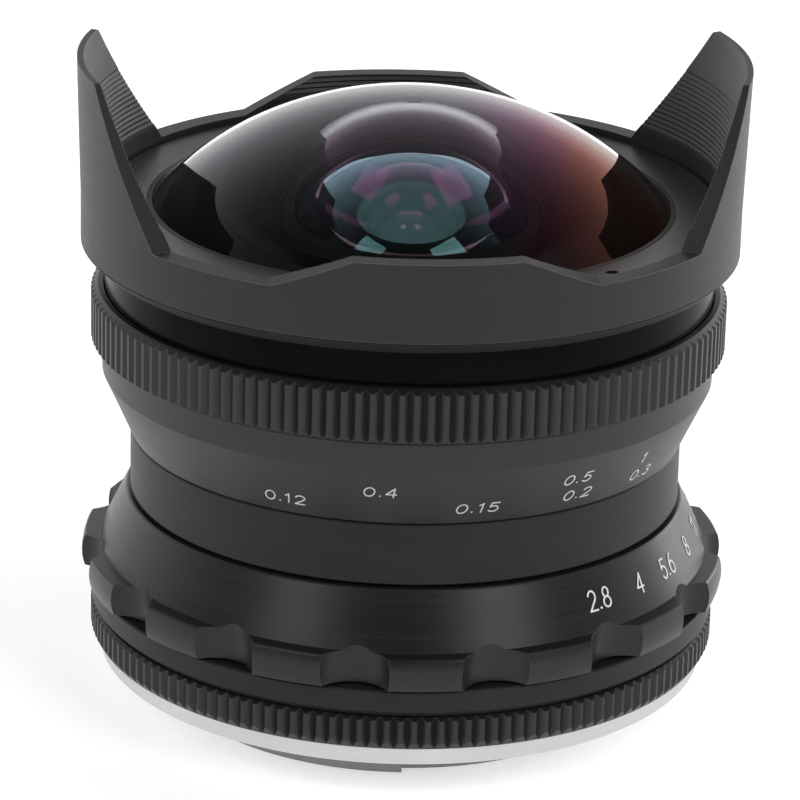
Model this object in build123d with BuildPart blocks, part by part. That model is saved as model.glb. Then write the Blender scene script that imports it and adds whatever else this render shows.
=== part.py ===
from build123d import *
from math import asin, copysign, cos, degrees, radians, sin, sqrt
import os

os.makedirs("parts", exist_ok=True)

# A manual fisheye lens for a mirrorless camera: bayonet mount, fixed barrel, knurled focus ring,
# scooped aperture ring, eleven glass elements, a twelve-leaf iris and a petal hood.
# Millimetres. +Z points out of the front, and the origin is the centre of the flange's rear face.
# An azimuth is measured about +Z from the side that faces -Y, positive towards +X, in degrees.
# The lens is set to infinity and to its smallest aperture.

# Clearances
joint_gap = 0.05
run_gap = 0.1
ring_gap = 0.3
overrun = 1.0
quarter_turn = 90.0

# Fixed barrel: a base behind the rings and a tube that carries them
tube_radius = 25.6
tube_wall = 1.0
tube_end = 0.3
base_wall = 2.4
base_height = 6.0
base_web = 2.1

# Mount flange and its bayonet
flange_overhang = 2.1
flange_height = 1.9
flange_edge = 0.2
throat_inset = 5.6
bayonet_wall = 2.0
bayonet_depth = 4.1
claw_reach = 1.0
claw_height = 1.35
claw_count = 3
claw_angle = 44.0
claw_end_azimuth = 1.3
lock_slot_offset = 4.2
lock_slot_length = 4.2
lock_slot_width = 2.2
lock_slot_depth = 1.2
lock_slot_azimuth = 90.0

# Mount screws
mount_screw_inset = 1.7
mount_screw_count = 4
mount_screw_azimuth = 45.0
mount_screw_radius = 0.8
mount_screw_head = 1.6
mount_screw_length = 5.6
mount_screw_angle = 90.0

# Rear baffle
baffle_wall = 1.0
baffle_depth = 3.9
baffle_plate = 1.0
baffle_window_gap = 0.4
baffle_rim = 0.3
baffle_rim_height = 1.5

# Knurled ring and smooth collar behind the aperture ring
rear_grip_wall = 3.05
rear_grip_height = 3.3
rear_grip_low_chamfer = 0.75
rear_grip_top_chamfer = 0.28
rear_grip_teeth = 150
rear_grip_land = 0.36
rear_grip_depth = 0.46
rear_grip_azimuth = 0.59
collar_wall = 3.0
collar_groove_depth = 0.65
collar_groove = 0.5
collar_height = 2.75
fine_edge = 0.15

# Aperture ring
aperture_throw_angle = 58.0
band_wall = 6.3
band_low_fall = 0.3
band_top_fall = 0.25
band_height = 3.2
band_step = 1.85
aperture_cone_fall = 2.5
aperture_ring_height = 8.6
scoop_count = 15
scoop_radius = 3.76
scoop_offset = 1.64
scoop_azimuth = -7.4

# Pin of the aperture ring, which reaches through the barrel to the iris
pin_radius = 0.8
pin_height = 5.75
pin_inner_end_inset = 0.3
pin_seat = 2.2
pin_azimuth = 150.0
pin_slot_margin = 1.5

# Click detent under the aperture ring
click_ball_radius = 0.75
click_azimuth = 180.0
click_stops = 13
click_dimple = 0.2
click_pocket_depth = 3.6
click_spring_wire = 0.16
click_spring_coils = 4

# Fixed index ring and its set screws
index_gap = 0.25
index_wall = 1.55
index_height = 6.15
index_screw_radius = 0.7
index_screw_floor = 0.15
index_screw_azimuth = 135.0

# Focus ring
focus_throw_angle = 125.0
focus_gap = 0.15
focus_overhang = 0.05
focus_cone_height = 6.1
focus_cone_rise = 2.75
focus_cylinder_height = 2.7
focus_grip_proud = 1.1
focus_grip_low_chamfer = 0.65
focus_grip_height = 5.8
focus_grip_top_fall = 0.67
focus_grip_top_chamfer = 0.52
focus_teeth = 144
focus_land = 0.41
focus_depth = 0.45
focus_azimuth = -0.585
focus_lip_height = 5.2
focus_wall = 1.1
focus_mouth_wall = 1.2
focus_mouth_depth = 1.5

# Retaining ring, stop screw and helicoid of the focus ring
retainer_gap = 0.1
retainer_height = 1.2
retainer_wall = 2.6
retainer_notch = 2.0
stop_screw_radius = 0.7
stop_screw_height = 3.0
stop_screw_reach = 0.8
stop_screw_azimuth = 180.0
stop_groove_height = 1.8
stop_groove_depth = 1.1
helicoid_wall = 1.65
helicoid_height = 5.7
helicoid_top_gap = 0.2

# Guide keys between the barrel and the front group
key_count = 3
key_width = 3.0
key_height = 3.8
key_reach = 1.7
key_foot = 1.2

# Front sleeve, which moves with the glass
sleeve_wall = 1.35
sleeve_web = 1.3
sleeve_show = 3.6
skirt_wall = 1.2
skirt_height = 5.8

# Optical barrel
barrel_wall = 2.3
barrel_skirt = 8.0
barrel_front_wall = 0.9
barrel_step = 1.6
barrel_lip = 1.45
barrel_lip_width = 0.8
land_rise = 2.6
land_height = 3.0
land_wall = 1.2
barrel_flange = 1.3
barrel_mouth = 0.8
barrel_screw_count = 3
barrel_screw_inset = 2.1
barrel_screw_radius = 0.6
barrel_screw_head = 1.0
barrel_screw_head_height = 0.6
barrel_screw_length = 2.3

# Front rim, hood and the hood's screws
rim_overhang = 1.2
rim_rise = 1.1
rim_height = 1.15
rim_groove = 0.08
hood_rise = 0.35
hood_height = 18.05
hood_foot_height = 1.55
hood_wall = 2.0
hood_bore_height = 5.6
hood_mouth_wall = 0.65
hood_turn_angle = 5.0
hood_groove_count = 14
hood_groove_height = 0.5
hood_groove_depth = 0.14
valley_height = 4.45
short_petal_height = 7.65
short_petal_half_angle = 14.05
short_petal_foot_angle = 28.1
short_cut_angle = 48.0
tall_edge_angle = 62.6
tall_edge_lean = 5.4
tall_cut_angle = 20.0
petal_fillet = 0.8
hood_screw_count = 3
hood_screw_inset = 0.7
hood_screw_azimuth = 60.0
hood_screw_radius = 0.35
hood_screw_head = 0.6
hood_screw_head_height = 0.5
hood_screw_length = 4.0

# Front cell and the ring that holds the first element
cell_wall = 1.55
cell_height = 5.2
cell_shoulder = 1.7
cell_ledge = 4.8
name_gap = 0.15
name_lip = 1.05
name_height = 2.1
name_slope = 0.3
spanner_inset = 2.25
spanner_radius = 0.6
spanner_depth = 0.8
spanner_azimuths = (42.0, -139.0)
seal_width = 0.5
seal_gap = 0.07

# Glass: rims, curves of the front and rear faces, thicknesses and air gaps along the axis.
# A positive curve has its centre behind the face.
element_1_front_share = 1.317
element_1_back_share = 0.578
element_1_border_share = 0.989
element_2_rim_share = 0.914
element_2_front_share = 1.571
element_2_back_share = 0.6785
element_2_border_share = 0.938
element_2_thickness = 1.4
element_2_bore_gap = 0.39
element_2_seat = 0.2
element_2_retainer_width = 0.95
element_2_retainer_height = 0.45
element_3_retainer_height = 0.82
element_3_front = -30.0
element_3_back = 12.0
element_3_thickness = 1.2
element_4_back = -20.0
element_4_thickness = 6.5
cement = 0.02
front_rim = 8.0
air_4_5 = 1.5
element_5_front = 18.0
element_5_back = -30.0
element_5_thickness = 4.0
rear_rim = 7.5
element_6_front = -50.0
element_6_thickness = 0.9
element_7_front = 16.0
element_7_back = -40.0
element_7_thickness = 3.5
air_7_8 = 0.3
element_8_front = -30.0
element_8_back = 30.0
element_8_thickness = 0.8
air_8_9 = 0.5
element_9_front = 16.0
element_9_back = -12.0
element_9_thickness = 5.2
element_10_back = -25.0
element_10_thickness = 0.8
air_10_11 = 0.5
element_11_front = 30.0
element_11_back = -60.0
element_11_thickness = 2.4
spacer_wall = 0.65

# Rear cell
rear_stack_gap = 0.05
rear_cell_lip = 0.8
rear_cell_lip_width = 0.7
rear_cell_wall = 1.25
rear_cell_web = 1.2
rear_cell_skirt = 1.05
rear_retainer_height = 0.35

# Iris: housing, cover, leaves and drive ring
iris_plate = 0.8
iris_wall = 0.9
iris_height = 4.0
iris_hole_inset = 2.5
iris_cover_height = 0.5
blade_count = 12
blade_pivot_circle = 7.5
blade_swing_angle = 29.0
blade_inner_inset = 3.2
blade_outer_inset = 0.45
blade_sweep_angle = 100.0
blade_thickness = 0.1
blade_layer_height = 0.16
blade_first_gap = 0.1
blade_ear = 0.7
blade_tail_inset = 1.3
blade_tail_angle = 38.0
blade_tail_width = 0.9
blade_pin_radius = 0.3
blade_pin_gap = 0.08
drive_ring_inset = 0.15
drive_ring_step = 0.8
cam_reach = 3.0
drive_ring_height = 0.8
drive_ring_gap = 0.25
arm_width = 3.0
arm_reach = 3.4
arm_slot_margin = 1.5
fork_thickness = 2.1
fork_width = 4.0
fork_end = 1.8
fork_slot_height = 5.3

# Radii that the pieces share
tube_bore = tube_radius - tube_wall
ring_bore = tube_radius + run_gap
base_radius = tube_radius + base_wall
grip_bore = base_radius + joint_gap
rear_grip_radius = grip_bore + rear_grip_wall
collar_radius = grip_bore + collar_wall
flange_radius = base_radius + flange_overhang
throat_radius = tube_radius - throat_inset
bayonet_radius = throat_radius + bayonet_wall
mount_screw_circle = base_radius - mount_screw_inset
click_circle = (tube_radius + base_radius) / 2
band_radius = ring_bore + band_wall
band_low_radius = band_radius - band_low_fall
band_top_radius = band_radius - band_top_fall
aperture_cone_low_radius = band_radius - band_step
aperture_cone_top_radius = aperture_cone_low_radius - aperture_cone_fall
index_bore = tube_radius + joint_gap
index_radius = index_bore + index_wall
focus_cone_low_radius = index_radius + focus_overhang
focus_radius = focus_cone_low_radius + focus_cone_rise
focus_grip_radius = focus_radius + focus_grip_proud
focus_bore = focus_radius - focus_wall
helicoid_radius = focus_bore - joint_gap - helicoid_wall
key_inner_radius = tube_bore - key_reach
sleeve_radius = focus_grip_radius - focus_mouth_wall - run_gap
sleeve_bore = sleeve_radius - sleeve_wall
cell_radius = sleeve_bore - joint_gap
cell_bore = cell_radius - cell_wall
element_1_rim = cell_bore - joint_gap
name_bore = element_1_rim - name_lip
land_radius = tube_bore - run_gap
iris_hole = blade_pivot_circle - iris_hole_inset
blade_inner = blade_pivot_circle - blade_inner_inset
blade_outer = blade_pivot_circle - blade_outer_inset
drive_ring_bore = blade_pivot_circle + drive_ring_step
blade_tail_radius = drive_ring_bore + blade_tail_inset
drive_ring_radius = blade_tail_radius + cam_reach
barrel_bore = drive_ring_radius + drive_ring_inset + iris_wall + joint_gap
barrel_radius = barrel_bore + barrel_wall
barrel_front_bore = front_rim + joint_gap
barrel_lip_bore = front_rim - barrel_lip_width
barrel_screw_circle = land_radius + barrel_screw_inset
rim_bore = sleeve_bore + joint_gap
rim_low_radius = sleeve_radius + rim_overhang
hood_radius = rim_low_radius + rim_rise
hood_top_radius = hood_radius + hood_rise
hood_bore = hood_radius - hood_wall
hood_screw_circle = rim_bore + hood_screw_inset
element_1_front = element_1_rim * element_1_front_share
element_1_back = element_1_rim * element_1_back_share
element_1_back_rim = element_1_back * element_1_border_share
element_2_rim = element_1_back_rim * element_2_rim_share
element_2_front = element_2_rim * element_2_front_share
element_2_back = element_2_rim * element_2_back_share
element_2_back_rim = element_2_back * element_2_border_share
element_2_bore = element_2_back_rim + element_2_bore_gap
barrel_front_radius = element_2_bore + barrel_front_wall
rear_bore = rear_rim + joint_gap
rear_cell_radius = rear_bore + rear_cell_wall
rear_cell_lip_bore = rear_rim - rear_cell_lip_width
arm_radius = barrel_radius + arm_reach
fork_inner = arm_radius - fork_thickness

# Heights that the pieces share
grip_top = flange_height + rear_grip_height
collar_top = grip_top + collar_height
base_top = flange_height + base_height
aperture_low = collar_top + ring_gap
band_top = aperture_low + band_height
aperture_top = aperture_low + aperture_ring_height
index_low = aperture_top + index_gap
index_top = index_low + index_height
focus_low = index_top + focus_gap
focus_cone_top = focus_low + focus_cone_height
focus_grip_low = focus_cone_top + focus_cylinder_height
focus_grip_top = focus_grip_low + focus_grip_height
focus_top = focus_grip_top
focus_lip_top = focus_low + focus_lip_height
focus_mouth = focus_top - focus_mouth_depth
tube_top = focus_lip_top + retainer_gap + retainer_height + tube_end
sleeve_top = focus_top + sleeve_show
web_low = focus_mouth + helicoid_top_gap
web_top = web_low + sleeve_web
skirt_low = web_low - skirt_height
flange_top = web_top + barrel_flange
cell_seat = flange_top + cell_shoulder
cell_top = flange_top + cell_height
rim_top = sleeve_top + rim_height
hood_top = rim_top + hood_height
name_top = cell_top + name_height
pin_level = aperture_low + pin_height
land_low = focus_low + land_rise


# Helpers
def spot(radius, azimuth, height=0):
    """The point at this radius and azimuth."""
    return (radius * sin(radians(azimuth)), -radius * cos(radians(azimuth)), height)


def outward(azimuth, radius=0, height=0):
    """A plane that faces outward: local x runs round the lens and local y up it."""
    across = spot(1, azimuth + quarter_turn)
    return Plane(origin=spot(radius, azimuth, height), x_dir=across, z_dir=spot(1, azimuth))


def upward(azimuth, radius, height):
    """A level plane whose local x points away from the axis."""
    return Plane(origin=spot(radius, azimuth, height), x_dir=spot(1, azimuth), z_dir=(0, 0, 1))


def downward(azimuth, radius, height):
    """A level plane that faces the rear."""
    return Plane(origin=spot(radius, azimuth, height), x_dir=spot(1, azimuth), z_dir=(0, 0, -1))


def band(inner, outer, low, high):
    """The half section of a plain ring."""
    return [(inner, low), (outer, low), (outer, high), (inner, high)]


def turn(points, mode=Mode.ADD, start=0, arc=360):
    """Turns a closed outline of (radius, height) points about the lens axis."""
    side = Plane(origin=(0, 0, 0), x_dir=spot(1, start), z_dir=spot(-1, start + quarter_turn))
    with BuildSketch(side) as section:
        with BuildLine():
            Polyline(*points, close=True)
        make_face()
    revolve(section.sketch, axis=Axis.Z, revolution_arc=arc, mode=mode)


def toothed(radius, depth, land, count, azimuth, low, high):
    """A disc from low to high with V valleys between flat lands."""
    pitch = 360 / count
    half_land = degrees(land / 2 / radius)
    points = []
    for tooth in range(count):
        middle = azimuth + tooth * pitch
        points.append(spot(radius, middle - half_land))
        points.append(spot(radius, middle + half_land))
        points.append(spot(radius - depth, middle + pitch / 2))
    with BuildSketch(Plane.XY.offset(low)) as outline:
        with BuildLine():
            Polyline(*points, close=True)
        make_face()
    extrude(outline.sketch, amount=high - low)


def fall(curve, radius):
    """How far a spherical face falls from its apex at a radius. A negative curve rises."""
    return curve - copysign(sqrt(curve**2 - radius**2), curve)


def glass(rim, front, front_apex, back, back_apex, back_rim=None):
    """An element turned from its half section, with a flat rear border outside back_rim."""
    clear = back_rim or rim
    front_edge = (rim, front_apex - fall(front, rim))
    back_edge = (clear, back_apex - fall(back, clear))
    front_middle = (rim / 2, front_apex - fall(front, rim / 2))
    back_middle = (clear / 2, back_apex - fall(back, clear / 2))
    border = [front_edge, (rim, back_edge[1])]
    if back_rim:
        border.append(back_edge)
    with BuildSketch(Plane.XZ) as section:
        with BuildLine():
            ThreePointArc((0, front_apex), front_middle, front_edge)
            Polyline(*border)
            ThreePointArc(back_edge, back_middle, (0, back_apex))
            Line((0, back_apex), (0, front_apex))
        make_face()
    revolve(section.sketch, axis=Axis.Z)


def ledge_under(apex, curve, rim, bore):
    """The level of a ledge between bore and rim that carries a rear face."""
    return apex - joint_gap - max(fall(curve, bore), fall(curve, rim))


def held_by(level, curve, rim):
    """The apex of a front face whose retainer starts at this level."""
    return level + min(fall(curve, rim - spacer_wall), fall(curve, rim)) - joint_gap


def behind(apex, curve, rim):
    """The highest level of a spacer that stands behind a rear face."""
    return apex - max(fall(curve, rim - spacer_wall), fall(curve, rim)) - joint_gap


def before(apex, curve, rim):
    """The lowest level of a spacer that stands before a front face."""
    return apex - min(fall(curve, rim - spacer_wall), fall(curve, rim)) + joint_gap


# Apexes of the glass from the front to the rear, with the seats that follow from them.
# The flat rear border of the first element rests in its cell.
back_1 = cell_seat + joint_gap + fall(element_1_back, element_1_back_rim)
front_1 = cell_top + fall(element_1_front, element_1_rim)
pocket_low = web_top + element_2_seat
back_2 = pocket_low + fall(element_2_back, element_2_back_rim)
front_2 = back_2 + element_2_thickness
edge_3 = pocket_low - barrel_mouth - element_3_retainer_height
front_3 = held_by(edge_3, element_3_front, front_rim)
back_3 = front_3 - element_3_thickness
front_4 = back_3 - cement
back_4 = front_4 - element_4_thickness
front_5 = back_4 - air_4_5
back_5 = front_5 - element_5_thickness
lip_top = ledge_under(back_5, element_5_back, front_rim, barrel_lip_bore)
chamber_top = lip_top - barrel_lip
iris_top = chamber_top - run_gap - iris_cover_height
iris_low = iris_top - iris_height
barrel_low = iris_low - barrel_skirt
edge_6 = iris_low - rear_stack_gap - rear_retainer_height
front_6 = held_by(edge_6, element_6_front, rear_rim)
back_6 = front_6 - element_6_thickness
front_7 = back_6 - cement
back_7 = front_7 - element_7_thickness
front_8 = back_7 - air_7_8
back_8 = front_8 - element_8_thickness
front_9 = back_8 - air_8_9
back_9 = front_9 - element_9_thickness
front_10 = back_9 - cement
back_10 = front_10 - element_10_thickness
front_11 = back_10 - air_10_11
back_11 = front_11 - element_11_thickness
rear_ledge = ledge_under(back_11, element_11_back, rear_rim, rear_cell_lip_bore)
rear_cell_low = rear_ledge - rear_cell_lip


def dome(radius):
    """The height of the first element's front face."""
    return front_1 - fall(element_1_front, radius)


def finish(piece, name):
    """Labels a finished piece and writes it."""
    piece.part.label = name
    export_step(piece.part, f"parts/{name}.step")


lowest = (Align.CENTER, Align.CENTER, Align.MIN)

# Mount flange: disc, bayonet collar with three claws, countersunk holes and the lock-pin slot
with BuildPart() as mount_flange:
    turn(
        [
            (throat_radius, 0),
            (flange_radius - flange_edge, 0),
            (flange_radius, flange_edge),
            (flange_radius, flange_height - flange_edge),
            (flange_radius - flange_edge, flange_height),
            (throat_radius, flange_height),
        ]
    )
    turn(band(throat_radius, bayonet_radius, -bayonet_depth, 0))
    claw = band(throat_radius, bayonet_radius + claw_reach, -bayonet_depth, claw_height - bayonet_depth)
    for number in range(claw_count):
        claw_start = claw_end_azimuth - claw_angle + number * 360 / claw_count
        turn(claw, start=claw_start, arc=claw_angle)
    for number in range(mount_screw_count):
        screw_azimuth = mount_screw_azimuth + number * 360 / mount_screw_count
        with Locations(downward(screw_azimuth, mount_screw_circle, 0)):
            CounterSinkHole(
                radius=mount_screw_radius + joint_gap,
                counter_sink_radius=mount_screw_head + 2 * joint_gap,
                depth=flange_height + overrun,
                counter_sink_angle=mount_screw_angle,
            )
    with BuildSketch(downward(lock_slot_azimuth, bayonet_radius + lock_slot_offset, 0)):
        SlotOverall(lock_slot_length, lock_slot_width, rotation=quarter_turn)
    extrude(amount=-lock_slot_depth, mode=Mode.SUBTRACT)
finish(mount_flange, "mount_flange")

# Four countersunk screws that hold the flange to the barrel
with BuildPart() as mount_screws:
    for number in range(mount_screw_count):
        screw_azimuth = mount_screw_azimuth + number * 360 / mount_screw_count
        with Locations(upward(screw_azimuth, mount_screw_circle, joint_gap)):
            Cone(mount_screw_head, mount_screw_radius, mount_screw_head - mount_screw_radius, align=lowest)
            Cylinder(mount_screw_radius, mount_screw_length, align=lowest)
finish(mount_screws, "mount_screws")

# Black baffle that lines the throat and rests on the flange's front face
with BuildPart() as rear_baffle:
    baffle_radius = throat_radius - run_gap
    rim_reach = throat_radius + baffle_rim - joint_gap
    rim_level = flange_height + baffle_rim_height
    baffle_window = rear_cell_radius + baffle_window_gap
    turn(
        [
            (baffle_window, rim_level - baffle_plate),
            (baffle_window, rim_level),
            (rim_reach, rim_level),
            (rim_reach, flange_height),
            (baffle_radius, flange_height),
            (baffle_radius, -baffle_depth),
            (baffle_radius - baffle_wall, -baffle_depth),
            (baffle_radius - baffle_wall, rim_level - baffle_plate),
        ]
    )
finish(rear_baffle, "rear_baffle")

# Fixed barrel: base, web and tube, with the slots and holes that the other pieces use
with BuildPart() as main_barrel:
    web_bore = throat_radius + baffle_rim
    turn(
        [
            (web_bore, flange_height),
            (base_radius, flange_height),
            (base_radius, base_top),
            (tube_radius, base_top),
            (tube_radius, tube_top),
            (tube_bore, tube_top),
            (tube_bore, flange_height + base_web),
            (web_bore, flange_height + base_web),
        ]
    )
    for number in range(mount_screw_count):
        screw_azimuth = mount_screw_azimuth + number * 360 / mount_screw_count
        with Locations(downward(screw_azimuth, mount_screw_circle, flange_height)):
            Hole(mount_screw_radius + joint_gap, depth=mount_screw_length + 3 * joint_gap - flange_height)
    with Locations(upward(click_azimuth, click_circle, base_top)):
        Hole(click_ball_radius + joint_gap, depth=click_pocket_depth)
    slot_half = pin_radius + run_gap
    slot_margin = degrees(asin(pin_radius / tube_bore)) + pin_slot_margin
    pin_slot = band(tube_bore - overrun, tube_radius + overrun, pin_level - slot_half, pin_level + slot_half)
    turn(pin_slot, Mode.SUBTRACT, pin_azimuth - slot_margin, aperture_throw_angle + 2 * slot_margin)
    key_level = focus_low + key_foot + key_height / 2
    for number in range(key_count):
        with Locations(outward(number * 360 / key_count, tube_bore - overrun, key_level)):
            Box(
                key_width + 2 * joint_gap,
                key_height + 2 * joint_gap,
                tube_wall + 2 * overrun,
                align=lowest,
                mode=Mode.SUBTRACT,
            )
    with Locations(outward(stop_screw_azimuth, tube_radius, focus_low + stop_screw_height)):
        Hole(stop_screw_radius + joint_gap, depth=tube_wall + overrun)
    for side in (-1, 1):
        with Locations(outward(side * index_screw_azimuth, tube_radius, index_low + index_height / 2)):
            Hole(index_screw_radius + joint_gap, depth=tube_wall - index_screw_floor)
finish(main_barrel, "main_barrel")

# Knurled ring that covers the joint between the flange and the base
with BuildPart() as rear_grip_ring:
    toothed(
        rear_grip_radius,
        rear_grip_depth,
        rear_grip_land,
        rear_grip_teeth,
        rear_grip_azimuth,
        flange_height,
        grip_top,
    )
    turn(
        [
            (grip_bore, flange_height),
            (rear_grip_radius - rear_grip_depth, flange_height),
            (rear_grip_radius, flange_height + rear_grip_low_chamfer),
            (rear_grip_radius, grip_top - rear_grip_top_chamfer),
            (rear_grip_radius - rear_grip_depth, grip_top),
            (grip_bore, grip_top),
        ],
        Mode.INTERSECT,
    )
finish(rear_grip_ring, "rear_grip_ring")

# Smooth collar with the groove below it
with BuildPart() as rear_collar:
    collar_groove_radius = collar_radius - collar_groove_depth
    turn(
        [
            (grip_bore, grip_top),
            (collar_groove_radius, grip_top),
            (collar_groove_radius, grip_top + collar_groove),
            (collar_radius - fine_edge, grip_top + collar_groove),
            (collar_radius, grip_top + collar_groove + fine_edge),
            (collar_radius, collar_top - fine_edge),
            (collar_radius - fine_edge, collar_top),
            (grip_bore, collar_top),
        ]
    )
finish(rear_collar, "rear_collar")

# Three keys set in the tube's wall, which stop the front group from turning
with BuildPart() as guide_keys:
    for number in range(key_count):
        with Locations(outward(number * 360 / key_count, key_inner_radius, key_level)):
            Box(key_width, key_height, tube_radius - joint_gap - key_inner_radius, align=lowest)
finish(guide_keys, "guide_keys")

# Detent ball and the spring below it
with BuildPart() as click_ball:
    ball_level = aperture_low - joint_gap - click_ball_radius
    with Locations(spot(click_circle, click_azimuth, ball_level)):
        Sphere(click_ball_radius)
finish(click_ball, "click_ball")

with BuildPart() as click_spring:
    spring_low = base_top - click_pocket_depth + joint_gap + click_spring_wire
    spring_high = ball_level - click_ball_radius - joint_gap - click_spring_wire
    with BuildLine() as coil:
        Helix(
            pitch=(spring_high - spring_low) / click_spring_coils,
            height=spring_high - spring_low,
            radius=click_ball_radius - click_spring_wire - joint_gap,
            center=spot(click_circle, click_azimuth, spring_low),
        )
    with BuildSketch(Plane(origin=coil.line @ 0, z_dir=coil.line % 0)):
        Circle(click_spring_wire)
    sweep(path=coil.line)
finish(click_spring, "click_spring")

# Aperture ring: crowned band with finger scoops, step, scale cone and click dimples
with BuildPart() as aperture_ring:
    with BuildSketch(Plane.XZ) as aperture_section:
        with BuildLine():
            ThreePointArc(
                (band_low_radius, aperture_low),
                (band_radius, aperture_low + band_height / 2),
                (band_top_radius, band_top - fine_edge),
            )
            Polyline(
                (band_top_radius, band_top - fine_edge),
                (band_top_radius - fine_edge, band_top),
                (aperture_cone_low_radius, band_top),
                (aperture_cone_top_radius, aperture_top - fine_edge),
                (aperture_cone_top_radius - fine_edge, aperture_top),
                (ring_bore, aperture_top),
                (ring_bore, aperture_low),
                (band_low_radius, aperture_low),
            )
        make_face()
    revolve(axis=Axis.Z)
    for number in range(scoop_count):
        azimuth = scoop_azimuth + number * 360 / scoop_count
        with Locations(spot(band_radius + scoop_offset, azimuth, aperture_low - overrun)):
            Cylinder(
                scoop_radius,
                aperture_ring_height + 2 * overrun,
                align=lowest,
                mode=Mode.SUBTRACT,
            )
    with Locations(outward(pin_azimuth, ring_bore - overrun, pin_level)):
        Cylinder(pin_radius + joint_gap, pin_seat + overrun, align=lowest, mode=Mode.SUBTRACT)
    for number in range(click_stops):
        click_place = click_azimuth - number * aperture_throw_angle / (click_stops - 1)
        with Locations(spot(click_circle, click_place, aperture_low + click_dimple - click_ball_radius)):
            Sphere(click_ball_radius, mode=Mode.SUBTRACT)
finish(aperture_ring, "aperture_ring")

# Pin from the aperture ring to the fork of the iris
with BuildPart() as aperture_pin:
    pin_inner_end = fork_inner + pin_inner_end_inset
    with Locations(outward(pin_azimuth, pin_inner_end, pin_level)):
        Cylinder(pin_radius, ring_bore + pin_seat - joint_gap - pin_inner_end, align=lowest)
finish(aperture_pin, "aperture_pin")

# Fixed band between the two rings
with BuildPart() as index_ring:
    turn(
        [
            (index_bore, index_low),
            (index_radius - fine_edge, index_low),
            (index_radius, index_low + fine_edge),
            (index_radius, index_top - fine_edge),
            (index_radius - fine_edge, index_top),
            (index_bore, index_top),
        ]
    )
    for side in (-1, 1):
        with Locations(outward(side * index_screw_azimuth, index_radius, index_low + index_height / 2)):
            Hole(index_screw_radius + joint_gap, depth=index_radius - tube_radius + overrun)
finish(index_ring, "index_ring")

# Grub screws of the index ring
with BuildPart() as index_set_screws:
    screw_end = tube_bore + index_screw_floor + joint_gap
    for side in (-1, 1):
        with Locations(outward(side * index_screw_azimuth, screw_end, index_low + index_height / 2)):
            Cylinder(index_screw_radius, index_radius - fine_edge - screw_end, align=lowest)
finish(index_set_screws, "index_set_screws")

# Focus ring: knurled grip, then the cylinder and the scale cone below it, then its stepped bore
with BuildPart() as focus_ring:
    toothed(
        focus_grip_radius,
        focus_depth,
        focus_land,
        focus_teeth,
        focus_azimuth,
        focus_grip_low,
        focus_grip_top,
    )
    turn(
        [
            (0, focus_grip_low),
            (focus_radius, focus_grip_low),
            (focus_grip_radius, focus_grip_low + focus_grip_low_chamfer),
            (focus_grip_radius, focus_grip_top - focus_grip_top_chamfer),
            (focus_grip_radius - focus_grip_top_fall, focus_grip_top),
            (0, focus_grip_top),
        ],
        Mode.INTERSECT,
    )
    turn(
        [
            (0, focus_low),
            (focus_cone_low_radius, focus_low),
            (focus_radius, focus_cone_top),
            (focus_radius, focus_grip_low),
            (0, focus_grip_low),
        ]
    )
    mouth_bore = sleeve_radius + run_gap
    turn(
        [
            (0, focus_low - overrun),
            (ring_bore, focus_low - overrun),
            (ring_bore, focus_lip_top),
            (focus_bore, focus_lip_top),
            (focus_bore, focus_mouth),
            (mouth_bore, focus_mouth),
            (mouth_bore, focus_top + overrun),
            (0, focus_top + overrun),
        ],
        Mode.SUBTRACT,
    )
    stop_level = focus_low + stop_screw_height
    stop_half = stop_groove_height / 2
    stop_edge = degrees(asin((stop_screw_radius + run_gap) / ring_bore))
    stop_groove = band(
        ring_bore - overrun,
        ring_bore + stop_groove_depth,
        stop_level - stop_half,
        stop_level + stop_half,
    )
    groove_start = stop_screw_azimuth - focus_throw_angle - stop_edge
    turn(stop_groove, Mode.SUBTRACT, groove_start, focus_throw_angle + 2 * stop_edge)
finish(focus_ring, "focus_ring")

# Screw in the tube that runs in the groove of the focus ring and meets its ends
with BuildPart() as focus_stop_screw:
    with Locations(outward(stop_screw_azimuth, tube_bore + joint_gap, stop_level)):
        Cylinder(stop_screw_radius, tube_wall + stop_screw_reach, align=lowest)
finish(focus_stop_screw, "focus_stop_screw")

# Ring on the tube's thread that keeps the focus ring down, with two spanner notches
with BuildPart() as focus_retainer:
    retainer_low = focus_lip_top + retainer_gap
    turn(band(index_bore, index_bore + retainer_wall, retainer_low, retainer_low + retainer_height))
    for side in (0, 180):
        with Locations(outward(side, index_bore + retainer_wall / 2, retainer_low + retainer_height)):
            Box(
                retainer_notch,
                retainer_height,
                retainer_wall + overrun,
                align=lowest,
                mode=Mode.SUBTRACT,
            )
finish(focus_retainer, "focus_retainer")

# Threaded insert of the focus ring that drives the front sleeve
with BuildPart() as helicoid_ring:
    helicoid_top = focus_mouth - helicoid_top_gap
    turn(
        band(
            helicoid_radius,
            focus_bore - joint_gap,
            helicoid_top - helicoid_height,
            helicoid_top,
        )
    )
finish(helicoid_ring, "helicoid_ring")

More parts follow.
